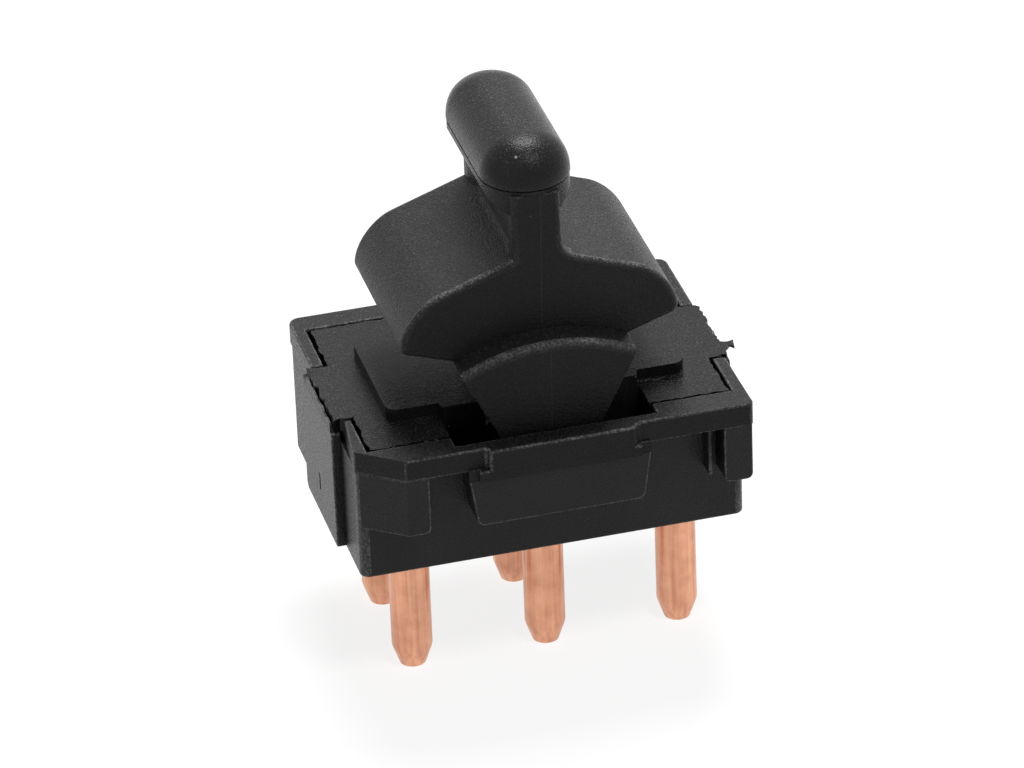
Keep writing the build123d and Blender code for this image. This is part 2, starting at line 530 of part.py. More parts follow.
for name, shape in pieces.items():
    export_step(shape, f"parts/{name}.step")
    print(name, len(shape.solids()), round(shape.volume, 2))
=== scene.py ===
# %% [markdown]
# # A tipping window switch, piece by piece
# The switch is a low box of black plastic on five copper pins, with a winged rocker and a capsule grip on top.
# The CAD frame already holds every piece at its real size. This lesson dresses it: the pieces that show are made
# again with softened edges and torn flash, and each finish gets its own grain. We load the frame first, because
# every later step takes its places from it.

# %% Load the frame
import json
import math
import random

import bmesh
import bpy
from mathutils import Matrix, Vector


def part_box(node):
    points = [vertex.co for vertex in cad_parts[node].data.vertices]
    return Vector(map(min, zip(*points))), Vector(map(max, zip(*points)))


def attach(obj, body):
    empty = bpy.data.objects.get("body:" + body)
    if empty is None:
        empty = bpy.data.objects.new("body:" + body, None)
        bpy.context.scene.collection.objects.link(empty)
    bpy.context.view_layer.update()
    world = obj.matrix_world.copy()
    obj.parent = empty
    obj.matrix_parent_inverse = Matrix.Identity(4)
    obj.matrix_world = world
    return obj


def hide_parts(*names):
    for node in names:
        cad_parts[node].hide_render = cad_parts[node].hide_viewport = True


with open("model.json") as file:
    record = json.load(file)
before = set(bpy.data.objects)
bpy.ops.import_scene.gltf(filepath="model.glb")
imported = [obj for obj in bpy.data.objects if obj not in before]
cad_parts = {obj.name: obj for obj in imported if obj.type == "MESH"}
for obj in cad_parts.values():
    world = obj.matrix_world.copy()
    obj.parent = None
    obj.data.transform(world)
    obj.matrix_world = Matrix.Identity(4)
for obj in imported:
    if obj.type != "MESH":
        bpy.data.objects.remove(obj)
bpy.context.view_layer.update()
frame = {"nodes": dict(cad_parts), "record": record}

MM = 0.001
print("nodes in the frame:", len(frame["nodes"]))


# %% [markdown]
# ## Measuring
# Blender works in metres, but a switch is easier to think of in millimetres. So the pieces are drawn in
# millimetres and brought down to metres in one last step. A helper reads how far a CAD piece reaches, which is
# safer than typing the same number twice.

# %% Read sizes from the frame
def reach(node):
    """The lowest and highest corner of a CAD node, in mm."""
    low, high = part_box(node)
    return low / MM, high / MM


rim_top = reach("top_frame")[1].z
grip_top = reach("rocker")[1].z
print("top of the rim, mm:", round(rim_top, 2), " top of the grip, mm:", round(grip_top, 2))


# %% [markdown]
# ## Outlines pushed through a thickness
# Nearly all of this switch is moulded, so its pieces are outlines pushed through a thickness. The helper turns a
# few corner points into a face and extrudes it, upwards for a plan or towards the back for a front view. That
# takes fewer numbers than a pile of ready-made blocks.

# %% Extruded outlines
def extrude(bm, face, length, plan=True):
    """Pushes a lone face through a length, which closes it into a solid."""
    grown = bmesh.ops.extrude_face_region(bm, geom=[face])["geom"]
    tops = [g for g in grown if isinstance(g, bmesh.types.BMVert)]
    bmesh.ops.translate(bm, verts=tops, vec=(0, 0, length) if plan else (0, length, 0))
    bmesh.ops.recalc_face_normals(bm, faces=bm.faces)


def prism(corners, start, end, plan=True):
    """A solid in mm: a plan (x, y) raised from start to end, or a front view (x, z) run from start to end along y."""
    bm = bmesh.new()
    outline = [bm.verts.new((a, b, start) if plan else (a, start, b)) for a, b in corners]
    extrude(bm, bm.faces.new(outline), end - start, plan)
    return bm


def box(x0, x1, y0, y1, z0, z1):
    """A block, given by its six faces."""
    return prism([(x0, y0), (x1, y0), (x1, y1), (x0, y1)], z0, z1)


trial = box(0, 1, 0, 1, 0, 1)
print("a plain block has", len(trial.faces), "faces")


# %% [markdown]
# Round corners aren't drawn. A bevel on chosen edges makes them, and its width can be changed later. Edges are
# chosen by where they lie, because their numbers change with every cut.

# %% Rounded corners
def ease(bm, edges, width, steps=3, clamp=True):
    """Rounds edges with a bevel."""
    bmesh.ops.bevel(bm, geom=edges, offset=width, offset_type="OFFSET", segments=steps, profile=0.5,
                    affect="EDGES", clamp_overlap=clamp, material=-1)


def near(bm, x=None, y=None, z=None, slack=0.02):
    """The edges whose both ends lie at the given x, y or z."""
    wanted = [(i, value) for i, value in enumerate((x, y, z)) if value is not None]
    return [e for e in bm.edges if all(abs(v.co[i] - value) < slack for i, value in wanted for v in e.verts)]


def upright(bm):
    """The edges that rise."""
    return [e for e in bm.edges if abs(e.verts[0].co.z - e.verts[1].co.z) > 0.01]


ease(trial, upright(trial), 0.2)
print("with round corners it has", len(trial.faces))
trial.free()


# %% [markdown]
# ## Joining and cutting
# Real mouldings grow bosses and lose pockets. An exact Boolean does both. It is applied at once, so that later
# steps work on plain mesh, and the cutter is thrown away.

# %% Boolean helpers
scene = bpy.context.scene


def piece_from(bm, name):
    """Puts a bmesh drawn in mm into the scene."""
    mesh = bpy.data.meshes.new(name)
    bm.to_mesh(mesh)
    bm.free()
    piece = bpy.data.objects.new(name, mesh)
    scene.collection.objects.link(piece)
    return piece


def taken_out(piece):
    """Takes a piece out of the scene again, as a bmesh."""
    bm = bmesh.new()
    bm.from_mesh(piece.data)
    bpy.data.objects.remove(piece)
    return bm


def settle(piece):
    """Applies a piece's modifiers."""
    graph = bpy.context.evaluated_depsgraph_get()
    mesh = bpy.data.meshes.new_from_object(piece.evaluated_get(graph), depsgraph=graph)
    piece.modifiers.clear()
    piece.data = mesh


def combine(piece, other, how="UNION"):
    """Unites, cuts or intersects a piece with a bmesh."""
    tool = piece_from(other, "tool")
    step = piece.modifiers.new("combine", "BOOLEAN")
    step.operation, step.solver, step.object = how, "EXACT", tool
    settle(piece)
    bpy.data.objects.remove(tool)


def cut(piece, other):
    """Cuts a bmesh out of a piece."""
    combine(piece, other, "DIFFERENCE")


# %% [markdown]
# ## Finishing a piece
# A moulded edge is never razor sharp. It carries a small radius that catches the light, and hands and handling polish
# it first. So the finishing step marks the faces that turn on a tight radius in an attribute for wear and painted
# highlight. The plastic reads it later and paints those faces paler, partly as wear and partly as a painted highlight
# that stands in for the light the edge catches. Finding them by their shape is surer than painting them by hand. The
# step also sets which edges shade sharp, and scales the mesh to metres.

# %% The finishing step
EDGE_WIDTH, EDGE_TURN, TIGHT_RADIUS = 0.2, 0.1, 0.45
dressed = {}


def is_eased_edge(face):
    """True for a narrow facet that turns outwards on a tight radius."""
    width = 2 * face.calc_area() / sum(e.calc_length() for e in face.edges)
    turn = max((e.calc_face_angle_signed(0) for e in face.edges if e.is_manifold), default=0)
    return turn > EDGE_TURN and width < EDGE_WIDTH and width / turn < TIGHT_RADIUS


def finish(piece, body, *nodes, slot, sharp=32):
    """Marks edges for wear and a painted highlight, sets the shading, scales to metres and hands the piece to the
    frame.
    """
    bm = bmesh.new()
    bm.from_mesh(piece.data)
    bmesh.ops.remove_doubles(bm, verts=bm.verts, dist=0.0005)
    wear_and_highlight = bm.faces.layers.float.new("wear_and_highlight")
    for face in bm.faces:
        face.smooth = True
        # Narrow eased facets are marked for wear and for a painted highlight.
        face[wear_and_highlight] = 1.0 if is_eased_edge(face) else 0.0
    for edge in bm.edges:
        edge.smooth = not edge.is_manifold or edge.calc_face_angle(0) < math.radians(sharp)
    bmesh.ops.scale(bm, verts=bm.verts, vec=(MM, MM, MM))
    bm.to_mesh(piece.data)
    bm.free()
    even = piece.modifiers.new("even normals", "WEIGHTED_NORMAL")
    even.keep_sharp = True
    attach(piece, body)
    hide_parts(*nodes)
    dressed[piece] = slot
    print(piece.name, "has", len(piece.data.polygons), "faces")


# %% [markdown]
# ## Torn edges
# This switch was pulled out of its console, and the thin flash round the cover is torn. A torn edge is a straight
# one cut into short steps that wander. The steps come from subdividing, and a seeded random number moves each
# one, so that the same tear comes out every time.

# %% A helper for torn outlines
def torn_plan(corners, start, end, wander, seed, step=0.35):
    """A raised plan whose border wanders. wander gives the reach of the tear at a point."""
    bm = bmesh.new()
    face = bm.faces.new([bm.verts.new((x, y, start)) for x, y in corners])
    rng = random.Random(seed)
    for edge in list(bm.edges):
        count = int(edge.calc_length() / step)
        if count:
            bmesh.ops.subdivide_edges(bm, edges=[edge], cuts=count)
    for v in bm.verts:
        amount = wander(v.co.x, v.co.y)
        v.co.x += rng.uniform(-amount, amount)
        v.co.y += rng.uniform(-amount, amount)
    bm.faces.ensure_lookup_table()
    extrude(bm, bm.faces[0], end - start)
    return bm


# %% [markdown]
# ## The camera
# A long lens from a good way off keeps the sides of the box nearly parallel. The camera looks down at about
# thirty degrees from a little left of the front, and leans slightly. Its three directions are worked out from
# those angles, because a matrix made of them can't roll or flip by surprise. Lengths are in millimetres and
# angles in radians.

# %% Place the camera
AZIMUTH, ELEVATION, LEAN = -0.247772, 0.526054, 0.039264
LENS, SENSOR, DISTANCE = 228.5, 36.0, 392.48
SHIFT_X, SHIFT_Y = -0.00492, -0.02317
TARGET = Vector((0.0, 0.245, 17.1))

ahead = Vector((-math.sin(AZIMUTH) * math.cos(ELEVATION), math.cos(AZIMUTH) * math.cos(ELEVATION),
                -math.sin(ELEVATION)))
level = ahead.cross(Vector((0, 0, 1))).normalized()
below = ahead.cross(level)
across = level * math.cos(LEAN) + below * math.sin(LEAN)
down = below * math.cos(LEAN) - level * math.sin(LEAN)

lens = bpy.data.cameras.new("camera")
lens.lens, lens.sensor_width = LENS, SENSOR
lens.shift_x, lens.shift_y = SHIFT_X, SHIFT_Y
lens.clip_start, lens.clip_end = 0.01, 20
camera = bpy.data.objects.new("camera", lens)
scene.collection.objects.link(camera)
turned = Matrix((across, -down, -ahead)).transposed()
camera.matrix_world = Matrix.Translation((TARGET - ahead * DISTANCE) * MM) @ turned.to_4x4()
scene.camera = camera
print("camera stands", [round(v, 3) for v in camera.location], "m from the switch")


# %% [markdown]
# ## The housing
# The box is one deep moulding with thick middles on its side walls, two pads under the front of the rim and a
# panel that bulges out between them. Its inside is full of small seats that are already right in CAD. So a copy
# of that mesh is merged and its flat faces are dissolved back to single ones, and only the outside edges are
# eased. That keeps the fits and still gives the box its soft corners.

# %% Copy a CAD piece and clean it
def copied(node):
    """A copy of a CAD node in mm, with its triangles merged back into flat faces."""
    bm = bmesh.new()
    bm.from_mesh(frame["nodes"][node].data)
    bmesh.ops.scale(bm, verts=bm.verts, vec=(1 / MM, 1 / MM, 1 / MM))
    bmesh.ops.remove_doubles(bm, verts=bm.verts, dist=0.002)
    bmesh.ops.dissolve_limit(bm, angle_limit=math.radians(1), verts=bm.verts, edges=bm.edges,
                             use_dissolve_boundaries=False)
    bmesh.ops.recalc_face_normals(bm, faces=bm.faces)
    return bm


def outward_edges(bm, keep, shortest, least=50):
    """The sharp outward edges, longer than shortest, that a test on their middle point keeps."""
    picked = []
    for e in bm.edges:
        if e.is_manifold and e.calc_face_angle_signed(0) > math.radians(least) and e.calc_length() > shortest:
            if keep((e.verts[0].co + e.verts[1].co) / 2):
                picked.append(e)
    return picked


shell = copied("base_housing")
print("copied shell has", len(shell.faces), "flat faces")


# %% [markdown]
# The lower inner corner of the left pad is rounder than the rest, so it is eased first. All other outer edges get
# one small radius, as a mould maker would cut it. The top of the bulge is left sharp, because the rim lies on it.

# %% Soften the outside of the box
side_wall, front_wall, back_wall = 11.5, -7.0, 9.2
pad_end, pad_foot = -7.95, 11.8
bulge_front, bulge_top = -9.2, 15.0


def outside(p):
    """True on the outer walls of the box."""
    return abs(p.x) > side_wall or p.y < front_wall or p.y > back_wall


def shell_edge(p):
    """True on the outer walls, but not at the top of the bulge."""
    return outside(p) and not (p.y < bulge_front and p.z > bulge_top)


ease(shell, near(shell, x=pad_end, z=pad_foot), 0.4, 5, clamp=False)
ease(shell, outward_edges(shell, shell_edge, 0.03), 0.12, 2, clamp=False)
print("eased shell has", len(shell.faces), "faces")
housing = piece_from(shell, "housing_shell")


# %% [markdown]
# The left wall carries a short slit from the mould. A thin cutter makes it. The slit is shallow, as a mark is,
# and doesn't go through the wall.

# %% The slit in the left wall
wall_face, slit_depth = -12.5, 0.2
cut(housing, box(wall_face - 0.1, wall_face + slit_depth, 0.42, 0.68, 10.2, 11.4))
print("slit is", slit_depth, "mm deep")


# %% [markdown]
# A tab of the cover lay over each side wall. Where it was torn off, a thin fin of flash still stands on the wall.
# It is a torn plan that is drawn lying down and turned up on its side, so only its top edge wanders.

# %% The torn fins
fin_front, fin_back, fin_foot = -2.9, 3.2, 16.0
fin_inner, fin_outer = 12.34, 12.47


def torn_fin(top, x0, x1, seed):
    """A thin upright fin along a side wall, torn along its top."""
    fin = torn_plan([(fin_front, fin_foot), (fin_back, fin_foot), (fin_back, top), (fin_front, top)], x0, x1,
                    lambda y, z: 0.14 if z > top - 0.05 else 0.0, seed, 0.4)
    to_side = Matrix(((0, 0, 1), (1, 0, 0), (0, 1, 0)))
    bmesh.ops.rotate(fin, verts=fin.verts, matrix=to_side)
    return fin


combine(housing, torn_fin(16.72, -fin_outer, -fin_inner, 4))
combine(housing, torn_fin(16.6, fin_inner, fin_outer, 9))
finish(housing, "housing", "base_housing", slot="housing")


# %% [markdown]
# ## The rim frame
# The rim is a flat ring with a chamfered corner at the front left and a stepped middle. It snaps over the box and
# is the edge that a hand meets, so it is copied and eased in the same way, with a slightly larger radius than the
# box. The lower front edge of the middle gets a very small one, because it sits close above the bulge.

# %% Ease the rim
lip_front, middle_front, middle_half = -9.15, -9.65, 4.4
lip_bottom, middle_bottom = rim_top - 1.45, rim_top - 2.05


def rim_edge(p):
    """True on the outer walls and the top of the rim, but not on the joint under its middle."""
    under_middle = abs(p.x) < 5.1 and p.z < lip_bottom + 0.05
    return (outside(p) or p.z > rim_top - 0.05) and not under_middle


ring = copied("top_frame")
ease(ring, near(ring, x=-middle_half, y=middle_front) + near(ring, x=-middle_half, y=lip_front), 0.2, 4,
     clamp=False)
ease(ring, outward_edges(ring, rim_edge, 0.05), 0.14, 3, clamp=False)
ease(ring, near(ring, y=middle_front, z=middle_bottom), 0.06, 2, clamp=False)
print("eased rim has", len(ring.faces), "faces")


# %% [markdown]
# The lip hangs lower in the middle, over the bulge, and reaches a little past it on both sides. Two small blocks
# lengthen it there.

# %% The ends of the low lip
rim = piece_from(ring, "rim_frame")
for x0, x1 in ((-5.62, -4.9), (4.9, 5.62)):
    combine(rim, box(x0, x1, -9.33, -8.4, lip_bottom - 0.59, lip_bottom + 0.1))
finish(rim, "housing", "top_frame", slot="frame")


# %% [markdown]
# ## The cover plate
# The plate closes the box. Flash was left round its border, which is ragged all round, and its two side tabs are
# torn off short. It is drawn as a torn plan, whose border wanders by as much as each place asks for.

# %% The plate and its torn border
plate_half, plate_front, plate_back = 11.05, -7.17, 7.75
tab_half, tab_front, tab_back = 12.55, -3.1, 3.3
torn_front, torn_back = 0.38, 0.33
slot_half, collar_front = 6.15, -5.05
plate_floor, plate_top = rim_top - 0.9, rim_top


def plate_wander(x, y):
    """How far the border of the plate wanders: much on the tabs, a little elsewhere, nothing at the slot."""
    if abs(x) > 11.6:
        return 0.12
    if abs(x) < slot_half + 0.05 and y < 0:
        return 0.0
    return 0.09


plate_corners = [
    (-plate_half, plate_front), (-slot_half, plate_front), (-slot_half, collar_front), (slot_half, collar_front),
    (slot_half, plate_front), (plate_half, plate_front), (plate_half, tab_front),
    (tab_half - torn_front, tab_front), (tab_half - torn_back, tab_back), (plate_half, tab_back),
    (plate_half, plate_back), (-plate_half, plate_back), (-plate_half, tab_back),
    (torn_back - tab_half, tab_back), (torn_front - tab_half, tab_front), (-plate_half, tab_front),
]
plate = piece_from(torn_plan(plate_corners, plate_floor, plate_top, plate_wander, seed=5), "cover")
print("border of the plate has", len(plate.data.vertices) // 2, "points")


# %% [markdown]
# A raised deck frames the slot for the rocker. It is a low step with round corners, and a collar widens it at the
# front and back. Both are plain outlines, because the deck's edge is moulded and clean. The collar stops a hair
# lower than the deck, so that the two tops don't fight.

# %% The deck and its collar
deck_half, deck_front, deck_back, deck_top = 9.25, -4.45, 4.5, rim_top + 0.8
overlap = 0.2
raised = box(-deck_half, deck_half, deck_front, deck_back, plate_top - overlap, deck_top)
ease(raised, upright(raised), 0.75, 8)
combine(plate, raised)
collar = prism(
    [(-6.0, collar_front), (6.0, collar_front), (6.3, deck_front + 0.4), (4.3, 5.5), (-4.3, 5.5),
     (-6.3, deck_front + 0.4)], plate_top - overlap, deck_top - 0.004)
combine(plate, collar)
print("deck raised to", round(deck_top, 2), "mm")


# %% [markdown]
# The stem of the rocker passes through a gap in the deck. A skirt hangs below on each side of it, which hides the
# contacts from anyone looking in at the front. The deck's top edges are eased last, when nothing cuts them again.

# %% The gap, the skirt and the deck's edges
stem_gap, gap_back = 3.3, 4.95
skirt_inner, skirt_outer, skirt_drop = 2.5, 7.1, 1.8
cut(plate, box(-stem_gap, stem_gap, collar_front - 1, gap_back, plate_floor - 1, deck_top + 1))
for side in (-1, 1):
    near_x, far_x = sorted((side * skirt_inner, side * skirt_outer))
    combine(plate, box(near_x, far_x, collar_front + 0.003, collar_front + 0.8, plate_floor - skirt_drop,
                       plate_floor + 0.1))
bm = bmesh.new()
bm.from_mesh(plate.data)
ease(bm, outward_edges(bm, lambda p: p.z > deck_top - 0.02, 0.1, 40), 0.1, 3)
bm.to_mesh(plate.data)
bm.free()
print("plate with its deck has", len(plate.data.polygons), "faces")


# %% [markdown]
# A whisker of plastic still hangs from the right tab, and a fringe of flash lies at the right foot of the deck.
# Each is a thin torn sliver, drawn as a small plan of its own.

# %% Whisker and fringe
whisker = torn_plan([(12.1, -2.7), (12.75, -1.95), (12.95, -2.25), (13.12, -1.4), (12.7, -1.5), (12.1, -1.3)],
                    rim_top - 0.22, rim_top - 0.07, lambda x, y: 0.03 if x < 13 else 0.0, 3, 0.25)
combine(plate, whisker)
fringe = torn_plan([(6.1, -4.6), (9.0, -4.85), (9.15, -4.3), (6.1, -4.3)], plate_top - 0.05, plate_top + 0.14,
                   lambda x, y: 0.12 if y < -4.4 else 0.0, 8, 0.3)
combine(plate, fringe)
finish(plate, "housing", "cover_plate", slot="plate")


# %% [markdown]
# ## The rocker: wings and neck
# The rocker is the hardest piece, because three shapes run into each other. We start with its front view: a slim
# neck between two drooping wings. The long curve of each wing is one wide bevel on a single corner, which stays
# smooth however the corner is moved.

# %% The front view of the wings
def up(height):
    """A height above the rim."""
    return rim_top + height


parting = grip_top - 2.54
face_front, face_back = -5.8, 5.8
foot_height = 10.3
neck, neck_foot, neck_top = 1.5, up(foot_height), parting - 0.38
shoulder, shoulder_level = 8.2, up(7.99)
wing_tip, tip_level, belly = 8.6, up(5.2), up(4.2)
half_view = [(wing_tip, tip_level), (shoulder, shoulder_level), (neck, neck_foot), (neck, neck_top)]
front_view = [(-5.6, belly), (5.6, belly)] + half_view + [(-x, z) for x, z in reversed(half_view)]
wings = prism(front_view, face_front, face_back, plan=False)
print("wings span", round(2 * wing_tip, 1), "mm")


# %% [markdown]
# The neck meets the right wing in a hollow curve and the left wing in a sharp corner, so only one foot is eased.
# Then the front and back rims are eased, which gives the bright line along them. The level edges at the belly and
# the top are left out, because the cheek and the grip cover them.

# %% Curves and rims of the wings
def long_edges(bm, x, z):
    """The two edges along y at one corner of the front view, left and right."""
    return near(bm, x=x, z=z) + near(bm, x=-x, z=z)


def lies_at(edge, z):
    """True when both ends of an edge are at one height."""
    return all(abs(v.co.z - z) <= 0.02 for v in edge.verts)


ease(wings, long_edges(wings, shoulder, shoulder_level), 2.25, 20)
ease(wings, near(wings, x=neck, z=neck_foot), 0.8, 10)
ease(wings, long_edges(wings, wing_tip, tip_level), 0.45, 8)
rims = [e for y in (face_front, face_back) for e in near(wings, y=y)
        if not lies_at(e, belly) and not lies_at(e, neck_top)]
ease(wings, rims, 0.36, 5)
print("eased wings have", len(wings.faces), "faces")
rocker = piece_from(wings, "rocker_moulding")


# %% [markdown]
# The neck isn't solid. Both its sides are hollowed between a front and a back flange, which saves plastic and
# stops the thick middle from sinking. The floor of a hollow falls with the wing below it. On the left the hollow
# runs out to the back in a long ramp, so the outer corners of that cutter are drawn far back.

# %% Hollows in the neck
slope = (foot_height - 8.75) / (6.0 - neck)
ramp_run, web_pull = 9.0, -0.4


def hollow_floor(x):
    """Height of the floor of a hollow at x."""
    return up(foot_height + slope * (neck - abs(x)))


for side in (-1, 1):
    web, far = side * (neck - 0.35), side * (neck + 2.4)
    hollow = prism([(web, hollow_floor(web)), (far, hollow_floor(far)), (far, up(13.9)), (web, up(13.4))],
                   face_front + 1.0, face_back - 1.8, plan=False)
    if side < 0:
        back = [v for v in hollow.verts if v.co.y > 0]
        ramp = [v for v in back if abs(v.co.x - far) < 0.01]
        bmesh.ops.translate(hollow, verts=ramp, vec=(0, ramp_run, 0))
        bmesh.ops.translate(hollow, verts=[v for v in back if v not in ramp], vec=(0, web_pull, 0))
    ease(hollow, near(hollow, x=web), 0.22, 4)
    cut(rocker, hollow)
print("floors of the hollows fall", round(math.degrees(math.atan(slope)), 1), "degrees")


# %% [markdown]
# The wings are hollow from below for the same reason. Four cutters with one outline do it, and leave a rib in the
# middle.

# %% Pockets under the wings
skin, half_rib = 1.2, 0.5
pocket_view = [(3.08, up(4.0)), (3.08, up(8.4)), (5.6, up(7.55)), (6.86, up(6.46)), (7.4, up(5.6)), (7.4, up(5.1)),
               (5.9, up(4.3)), (5.6, up(4.0))]
for mirror in (-1, 1):
    for y0, y1 in ((face_front + skin, -half_rib), (half_rib, face_back - skin)):
        cut(rocker, prism([(mirror * x, z) for x, z in pocket_view], y0, y1, plan=False))
print("hollowed rocker has", len(rocker.data.polygons), "faces")


# %% [markdown]
# ## The grip
# The grip is a capsule: half a sphere at each end of a half cylinder. We make a sphere, keep half of it, mirror
# that and bridge the gap, which keeps the ends and the middle on one smooth outline.

# %% A helper for capsules
def all_of(bm):
    return bm.verts[:] + bm.edges[:] + bm.faces[:]


def capsule(radius, height, length, middle_y, level_z, fuller):
    """A lying capsule in mm: end radius, half height and half length. fuller above 2 gives steeper sides."""
    bm = bmesh.new()
    bmesh.ops.create_uvsphere(bm, u_segments=64, v_segments=32, radius=radius)
    for v in bm.verts:
        out = math.hypot(v.co.x, v.co.y)
        if out > 0.001:
            wide = radius * max(0.0, 1 - (abs(v.co.z) / radius) ** fuller) ** (1 / fuller)
            v.co.x, v.co.y = v.co.x * wide / out, v.co.y * wide / out
    bmesh.ops.scale(bm, verts=bm.verts, vec=(1, 1, height / radius))
    bmesh.ops.bisect_plane(bm, geom=all_of(bm), dist=0.0001, plane_co=(0, 0, 0), plane_no=(0, -1, 0),
                           clear_outer=True)
    bmesh.ops.translate(bm, verts=bm.verts, vec=(0, length - radius, 0))
    twin = bmesh.ops.duplicate(bm, geom=all_of(bm))["geom"]
    twin_verts = [g for g in twin if isinstance(g, bmesh.types.BMVert)]
    bmesh.ops.scale(bm, verts=twin_verts, vec=(1, -1, 1))
    bmesh.ops.bridge_loops(bm, edges=[e for e in bm.edges if e.is_boundary])
    bmesh.ops.recalc_face_normals(bm, faces=bm.faces)
    bmesh.ops.translate(bm, verts=bm.verts, vec=(0, middle_y, level_z))
    return bm


# %% [markdown]
# Only the upper half of the capsule is used, as the dome that a finger rests on. It is a little fuller than a
# round one. A cut at the parting line takes the lower half away, and a hair of a radius keeps the cut edge from
# looking like a knife.

# %% The dome
grip_half, grip_length, grip_middle = 2.75, 6.4, 0.5
dome = capsule(grip_half, grip_top - parting, grip_length, grip_middle, parting, fuller=2.3)
flat = bmesh.ops.bisect_plane(dome, geom=all_of(dome), dist=0.0001, plane_co=(0, 0, parting), plane_no=(0, 0, -1),
                              clear_outer=True)
cut_edges = [g for g in flat["geom_cut"] if isinstance(g, bmesh.types.BMEdge)]
bmesh.ops.contextual_create(dome, geom=cut_edges)
bmesh.ops.recalc_face_normals(dome, faces=dome.faces)
ease(dome, near(dome, z=parting, slack=0.001), 0.03, 2)
print("dome is", round(2 * grip_length, 1), "mm long and", round(grip_top - parting, 2), "mm high")


# %% [markdown]
# Below the dome sits a cup that narrows to the neck. The two halves of the mould met between them and left a fine
# groove that runs round the grip. So the cup starts a little lower than the dome ends, and a core drawn in on all
# sides joins them. The cup is the grip's plan, kept only where a tapered front view overlaps it.

# %% The cup and the groove above it
groove, cup_bulge = 0.13, parting - 0.85


def grip_plan(inset, end_inset, start, end):
    """The plan of the grip, drawn in at its sides and its ends and raised from start to end."""
    half, reach_y = grip_half - inset, grip_length - end_inset
    bm = box(-half, half, grip_middle - reach_y, grip_middle + reach_y, start, end)
    ease(bm, upright(bm), half - 0.002, 28)
    return bm


half_cup = [(2.76, parting - groove), (2.66, cup_bulge), (1.3, parting - 1.9)]
cup_view = prism(half_cup + [(-x, z) for x, z in reversed(half_cup)], -8.0, 8.0, plan=False)
ease(cup_view, long_edges(cup_view, 2.66, cup_bulge), 0.3, 6)
cup = piece_from(grip_plan(0.02, 0.12, parting - 2.5, parting - groove), "cup")
combine(cup, cup_view, "INTERSECT")
combine(rocker, taken_out(cup))
combine(rocker, grip_plan(0.25, 0.25, parting - 0.3, parting + 0.2))
combine(rocker, dome)
print("groove is", groove, "mm high")


# %% [markdown]
# ## The cheek, the stem and the trunnions
# Below the wings, a fan-shaped cheek hangs in front and swings in the slot of the box. Its top is an arc and its
# flanks run tangent to the hub. A disc cut by a wedge gives exactly that, and easing the disc's front rim first
# gives the cheek its bright rounded brow.

# %% The brow of the cheek
pivot, hub = 14.9, 1.88
fan_radius, fan_level, fan_half = 11.7, 10.9, 5.4
cheek_front, cheek_back = -7.75, -5.5


def disc(radius, level_z, y0, y1, steps=96):
    """A cylinder along y at x = 0."""
    bm = bmesh.new()
    bmesh.ops.create_circle(bm, cap_ends=True, segments=steps, radius=radius)
    bmesh.ops.rotate(bm, verts=bm.verts, matrix=Matrix.Rotation(math.radians(90), 3, "X"))
    bmesh.ops.translate(bm, verts=bm.verts, vec=(0, y0, level_z))
    bm.faces.ensure_lookup_table()
    extrude(bm, bm.faces[0], y1 - y0, plan=False)
    return bm


brow = disc(fan_radius, fan_level, cheek_front, cheek_back, 192)
ease(brow, near(brow, y=cheek_front), 0.5, 6)
cheek = piece_from(brow, "cheek")
tip_z = fan_level + math.sqrt(fan_radius ** 2 - fan_half ** 2)
print("tips of the fan are", round(tip_z, 2), "mm above the floor")


# %% [markdown]
# The wedge runs from the points where the flanks touch the hub out past the tips of the fan. The angle comes from
# the tangent, so the cheek still fits if the hub grows.

# %% The flanks of the cheek
lean = math.atan2(fan_half, tip_z - pivot) - math.asin(hub / math.hypot(fan_half, tip_z - pivot))
touch = (hub * math.cos(lean), pivot - hub * math.sin(lean))
stretch = 1.4
wedge_tip = (touch[0] + (fan_half - touch[0]) * stretch, touch[1] + (tip_z - touch[1]) * stretch)
wedge = prism([(-touch[0], touch[1]), touch, wedge_tip, (-wedge_tip[0], wedge_tip[1])], cheek_front - 1,
              cheek_back + 1, plan=False)
combine(cheek, wedge, "INTERSECT")
combine(rocker, taken_out(cheek))
print("cheek joined, flanks lean", round(math.degrees(lean), 1), "degrees")


# %% [markdown]
# A hub and a stem carry the wings, and a trunnion at each end lets them tip. Two bores in the stem take the
# sprung plungers. All but the stem are round, so they are drawn about their own axes and stay true to the pivot.

# %% The hub, the stem, the trunnions and the bores
stem_back, trunnion_radius = 4.6, 1.0
bore_radius, bore_top, bore_depth = 0.85, 18.4, 7.0
combine(rocker, disc(hub, pivot, cheek_front, stem_back))
combine(rocker, box(-hub, hub, face_front + 0.01, stem_back - 0.01, pivot, up(4.5)))
combine(rocker, disc(trunnion_radius, pivot, -8.85, cheek_front + 0.1, 48))
combine(rocker, disc(trunnion_radius, pivot, stem_back - 0.1, 8.45, 48))
for x, y in ((0.45, -4.2), (-0.45, 3.2)):
    bore = bmesh.new()
    bmesh.ops.create_cone(bore, cap_ends=True, segments=48, radius1=bore_radius, radius2=bore_radius,
                          depth=bore_depth)
    bmesh.ops.translate(bore, verts=bore.verts, vec=(x, y, bore_top - bore_depth / 2))
    cut(rocker, bore)
print("rocker turns", pivot, "mm above the floor")


# %% [markdown]
# Flash was scraped along the left flank of the cheek. It shows as a thin, broken line that stands off the edge,
# and is drawn as a strip whose outer side wanders.

# %% Flash on the cheek's flank
start, end = Vector((-touch[0], cheek_front, touch[1])), Vector((-fan_half, cheek_front, tip_z))
along = (end - start).normalized()
outward = Vector((-along.z, 0, along.x))
first, last = [start + (end - start) * k for k in (0.30, 0.93)]
rooted, proud, set_back = -0.12, 0.03, Vector((0, 0.02, 0))


def stands_out(v):
    """True for a point of the strip beyond the flank."""
    return (v.co - start).dot(outward) > 0


